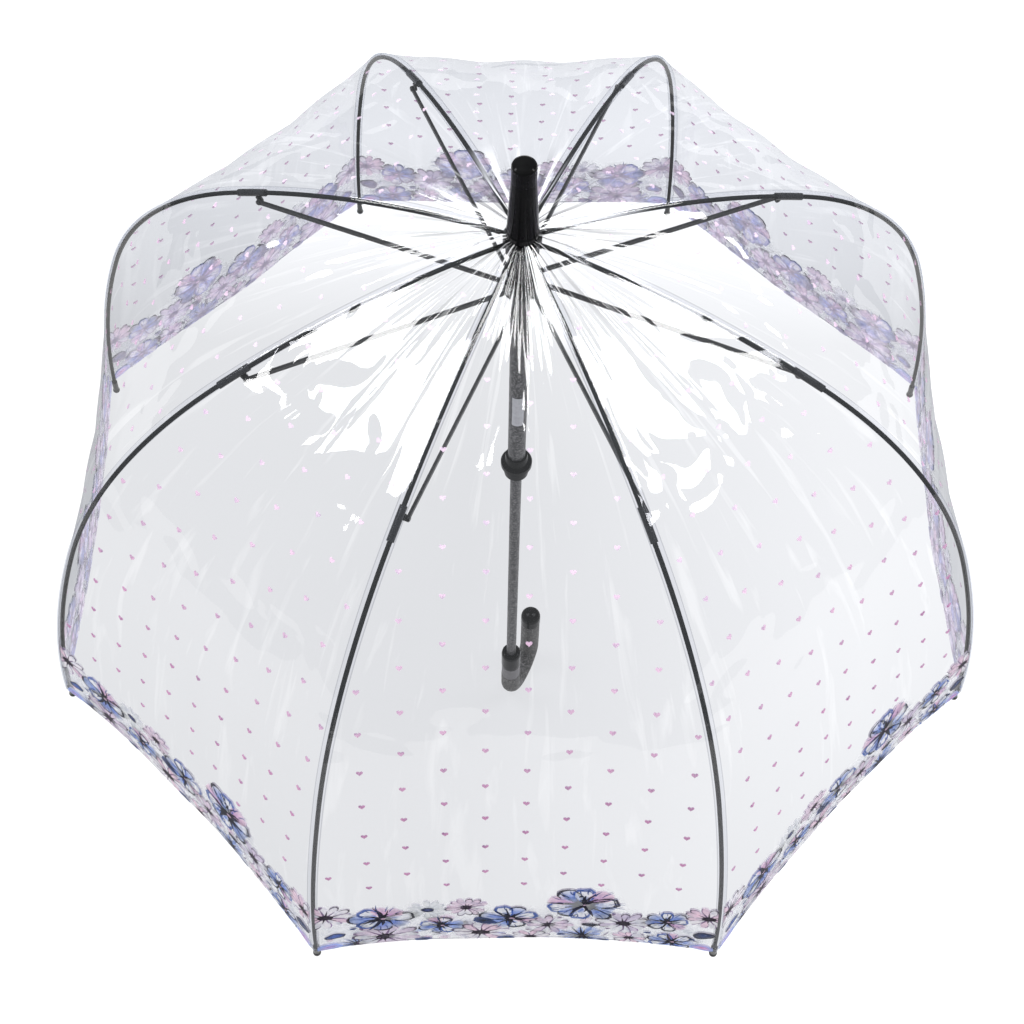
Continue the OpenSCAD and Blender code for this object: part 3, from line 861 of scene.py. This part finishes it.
def border(p, seed):
    """One gore's flower band; x runs from -160 to 160 at the hem, v is the height above it."""
    r = np.random.default_rng(seed)
    # faint milky ground behind the flowers
    for x, v, rx, ry in (
        (-140, 28, 34, 40), (-98, 30, 40, 40), (-52, 32, 42, 40), (-6, 32, 42, 40), (40, 34, 40, 46),
        (84, 30, 40, 40), (130, 30, 36, 42)
    ):
        p.home = (x, v)
        p.blob((x, v), rx, ry, 0, (0.74, 0.76, 0.77), (0.74, 0.76, 0.78), 0.5, 0.0, seed=int(x) + 500)
    for k in range(22):
        c = (r.uniform(-152, 152), r.uniform(2, 50))
        p.home = c
        tone = ((0.62, 0.60, 0.68), PALE, (0.7, 0.5, 0.62), (0.6, 0.63, 0.64))[k % 4]
        p.blob(
            c, r.uniform(4, 10), r.uniform(2.5, 6), r.uniform(0, 3), tone, tone, 0.7, 0.1, 0.3,
            seed=seed + k
        )
    for k in range(16):
        c = (r.uniform(-150, 150), r.uniform(2, 40))
        p.home = c
        p.layer += 1
        p.ray(
            c, r.uniform(0, 6.28), 0, r.uniform(6, 14), (0.2, 0.7, 0.2),
            mixc(NAVY, MAUVE, r.uniform(0, 0.7)), r.uniform(-2, 2), 0.85
        )
    spiky(p, (-126, 4), 34, 31)
    grey_daisy(p, (-69, 65), 36, 7)
    daisy(p, (12, 3), 33, 29, petals=11, tint=PINK, white=0.5)
    spiky(p, (53, 7), 46, 35)
    daisy(p, (-148, 64), 42, 3, tint=PINK, white=0.7)
    leaf(p, (-143, 26), 9, 5, 0.1, BLUE, NAVY, 4)
    daisy(p, (-104, 14), 56, 9, petals=13, tint=(0.5, 0.3, 0.5), white=0.7)
    big_flower(p, (-105, 53), 50, 12, 8)
    big_flower(p, (-59, 33), 36, 15, 8)
    daisy(p, (-28, 16), 50, 20, petals=12, tint=PINK, white=0.72)
    daisy(p, (-39, 68), 34, 17, petals=13, tint=(0.6, 0.34, 0.5), white=0.35)
    big_flower(p, (-5, 47), 46, 23, 8)
    leaf(p, (-25, 42), 10, 6, -0.3, NAVY, mixc(NAVY, BLUE, 0.3), 6)
    daisy(p, (25, 31), 40, 26, petals=12, tint=(0.6, 0.35, 0.55), white=0.45)
    daisy(p, (84, 42), 44, 37, petals=13, tint=MAUVE, white=0.75)
    big_flower(p, (52, 74), 60, 33, 10)
    leaf(p, (58, 34), 6, 4, 0.1, NAVY, NAVY, 8)
    daisy(p, (90, 11), 30, 39, petals=12, tint=PINK, white=0.45)
    big_flower(p, (118, 51), 36, 42, 8)
    big_flower(p, (124, 10), 38, 46, 9)
    daisy(p, (149, 64), 38, 44, petals=12, tint=PINK, white=0.5)
    leaf(p, (148, 31), 9, 6.5, 0.1, mixc(NAVY, BLUE, 0.3), NAVY, 10)
    leaf(p, (149, 5), 9, 6, 0, PINK, PALE, 48)
    leaf(p, (-150, 4), 11, 7, 0.2, mixc(PINK, PALE, 0.5), PALE, 11)
    for x, v, q in (
        (-74, 3, 7), (70, 2, 5), (-8, 2, 8), (104, 26, 3.5), (-128, 38, 3), (36, 10, 4), (140, 20, 3)
    ):
        leaf(p, (x, v), q, q * 0.5, 0, NAVY, mixc(NAVY, BLUE, 0.5), int(x) + 200)


# hearts: the lowest one's height above the hem, and the steps down and across (mm)
HEARTS_FROM, HEART_DOWN, HEART_ACROSS = 108, 35, 29.2


def hearts(p):
    """Columns of hearts, every other column shifted by half a step; paler higher up."""
    for i in range(-6, 6):
        for j in range(0, 18):
            v = HEARTS_FROM + HEART_DOWN * j + (HEART_DOWN / 2 if i % 2 else 0)
            x = HEART_ACROSS * i + 5
            s = S_HEM - v
            if s < 45:
                continue
            r, _, _ = rib_at(np.array(s))
            if abs(x) > float(r) * math.sin(HALF) - 8:
                continue
            k = min(max((v - 200) / 260, 0), 1)
            p.heart((x, v), 5.0 - 0.5 * k, mixc((0.56, 0.25, 0.44), (0.95, 0.76, 0.90), k), 0.9 - 0.35 * k)


def put_print(p, g, tag, mat, lift, fade=None):
    """Bends the flat print onto the film and shares it out by the rib length that carries it."""
    V = np.array(p.v)
    C = np.array(p.c)
    if fade is not None:
        C[:, :3] = C[:, :3] * (1 - fade[1]) + np.array(fade[0]) * fade[1]
    # each flower or heart goes whole to one side and one rib length
    home = np.array(p.own)
    at = S_HEM - home[:, 1]
    owner = 2 * ((at >= S_CLAMP).astype(int) + (at >= S_SHOULDER)) + (home[:, 0] >= 0)
    layer = V[:, 2].astype(int)
    s = np.clip(S_HEM - V[:, 1], 20, S_HEM)
    r, _, a = rib_at(s)
    half = (r + FILM_GAP * np.sin(a)) * math.sin(HALF)
    u = np.clip(0.5 + V[:, 0] / (2 * half), 0.008, 0.992)
    for own in range(6):
        idx = np.where(owner == own)[0]
        if len(idx) == 0:
            continue
        new = -np.ones(len(V), int)
        new[idx] = np.arange(len(idx))
        faces = [tuple(int(new[i]) for i in f) for f in p.f if owner[f[0]] == own]
        rise = lift + np.sign(lift) * 0.0008 * layer[idx]
        P = film(s[idx], u[idx], g) + film_normals(s[idx], u[idx], g) * rise[:, None]
        ob = mesh_object(f"print_{tag}_{g + 1}_{own}", P * MM, faces, mat, None, C[idx])
        fold(ob, g, own % 2, own // 2)


for g in range(GORES):
    art = Print()
    hearts(art)
    border(art, 70)
    put_print(art, g, "face", M_INK, PRINT_LIFT)
    put_print(art, g, "back", M_INK_BACK, -PRINT_LIFT, ((0.90, 0.82, 0.95), 0.5))


# ---------------------------------------------------------------- small pieces
LABEL_R, LABEL_FOOT, LABEL_TOP, LABEL_THICK = 0.00765, 0.559, 0.5985, 0.0002
LABEL_FROM, LABEL_SPAN, LABEL_STEPS = -128, 76, 8  # degrees round the runner tube


def blank_label():
    """White label wrapped part of the way round the runner tube, with nothing printed on it."""
    bm = bmesh.new()
    for i in range(LABEL_STEPS + 1):
        a = math.radians(LABEL_FROM + LABEL_SPAN * i / LABEL_STEPS)
        for z in (LABEL_FOOT, LABEL_TOP):
            bm.verts.new((LABEL_R * math.cos(a), LABEL_R * math.sin(a), z))
    bm.verts.ensure_lookup_table()
    for i in range(LABEL_STEPS):
        bm.faces.new([bm.verts[2 * i + k] for k in (0, 2, 3, 1)])
    me = bpy.data.meshes.new("label_blank")
    bm.to_mesh(me)
    bm.free()
    me.materials.append(M_LABEL)
    label = bpy.data.objects.new("label_blank", me)
    bpy.context.scene.collection.objects.link(label)
    sol = label.modifiers.new("thick", "SOLIDIFY")
    sol.thickness = LABEL_THICK
    sol.offset = 1
    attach(label, "runner")


blank_label()

# ---------------------------------------------------------------- floor, light, camera
scene = bpy.context.scene


def white_floor():
    """Backdrop that glows more towards the rear and the right."""
    bm = bmesh.new()
    bmesh.ops.create_grid(bm, x_segments=2, y_segments=2, size=6)
    me = bpy.data.meshes.new("floor")
    bm.to_mesh(me)
    bm.free()
    floor = bpy.data.objects.new("floor", me)
    scene.collection.objects.link(floor)
    m, t, out = material("floor_white")
    d = node(t, "ShaderNodeBsdfDiffuse")
    d.inputs["Color"].default_value = (0.11, 0.11, 0.11, 1)
    split = node(t, "ShaderNodeSeparateXYZ", [(0, node(t, "ShaderNodeTexCoord").outputs["Object"])])
    glow = node(t, "ShaderNodeMapRange", [("Value", split.outputs["Y"])])
    for key, v in (("From Min", 0.48), ("From Max", 0.82), ("To Min", 0.96), ("To Max", 1.52)):
        glow.inputs[key].default_value = v
    tilt = node(
        t, "ShaderNodeMath",
        [(0, glow.outputs[0]), (1, between(t, split.outputs["X"], -0.05, 0.4, 0.0, 0.17))],
        operation="ADD"
    )
    e = node(t, "ShaderNodeEmission", [("Strength", tilt.outputs[0])])
    e.inputs["Color"].default_value = (1, 1, 1, 1)
    add = node(t, "ShaderNodeAddShader")
    t.links.new(d.outputs[0], add.inputs[0])
    t.links.new(e.outputs[0], add.inputs[1])
    t.links.new(add.outputs[0], out.inputs["Surface"])
    me.materials.append(m)


white_floor()

world = bpy.data.worlds.new("studio")
scene.world = world
world.use_nodes = True
world.node_tree.nodes["Background"].inputs["Color"].default_value = (0.92, 0.96, 1.0, 1)
world.node_tree.nodes["Background"].inputs["Strength"].default_value = 0.5


def softbox(name, loc, aim, size, power):
    light = bpy.data.lights.new(name, "AREA")
    light.shape = "RECTANGLE"
    light.size, light.size_y = size
    light.energy = power
    ob = bpy.data.objects.new(name, light)
    ob.location = loc
    ob.rotation_euler = (Vector(aim) - Vector(loc)).to_track_quat("-Z", "Y").to_euler()
    scene.collection.objects.link(ob)


softbox("box_left", (-1.5, 0.55, 3.2), (-0.1, 0, 0.6), (1.3, 1.5), 80)
softbox("box_right", (1.5, 0.55, 3.2), (0.1, 0, 0.6), (1.3, 1.5), 80)

cam = bpy.data.cameras.new("camera")
cam.lens = 58.1
cam.sensor_width = 36
cam_ob = bpy.data.objects.new("camera", cam)
cam_ob.location = (-0.0192, -0.749, 1.7004)
cam_ob.rotation_euler = tuple(math.radians(v) for v in (30.029, -0.69, -0.065))
scene.collection.objects.link(cam_ob)
scene.camera = cam_ob
scene.view_settings.view_transform = "Standard"
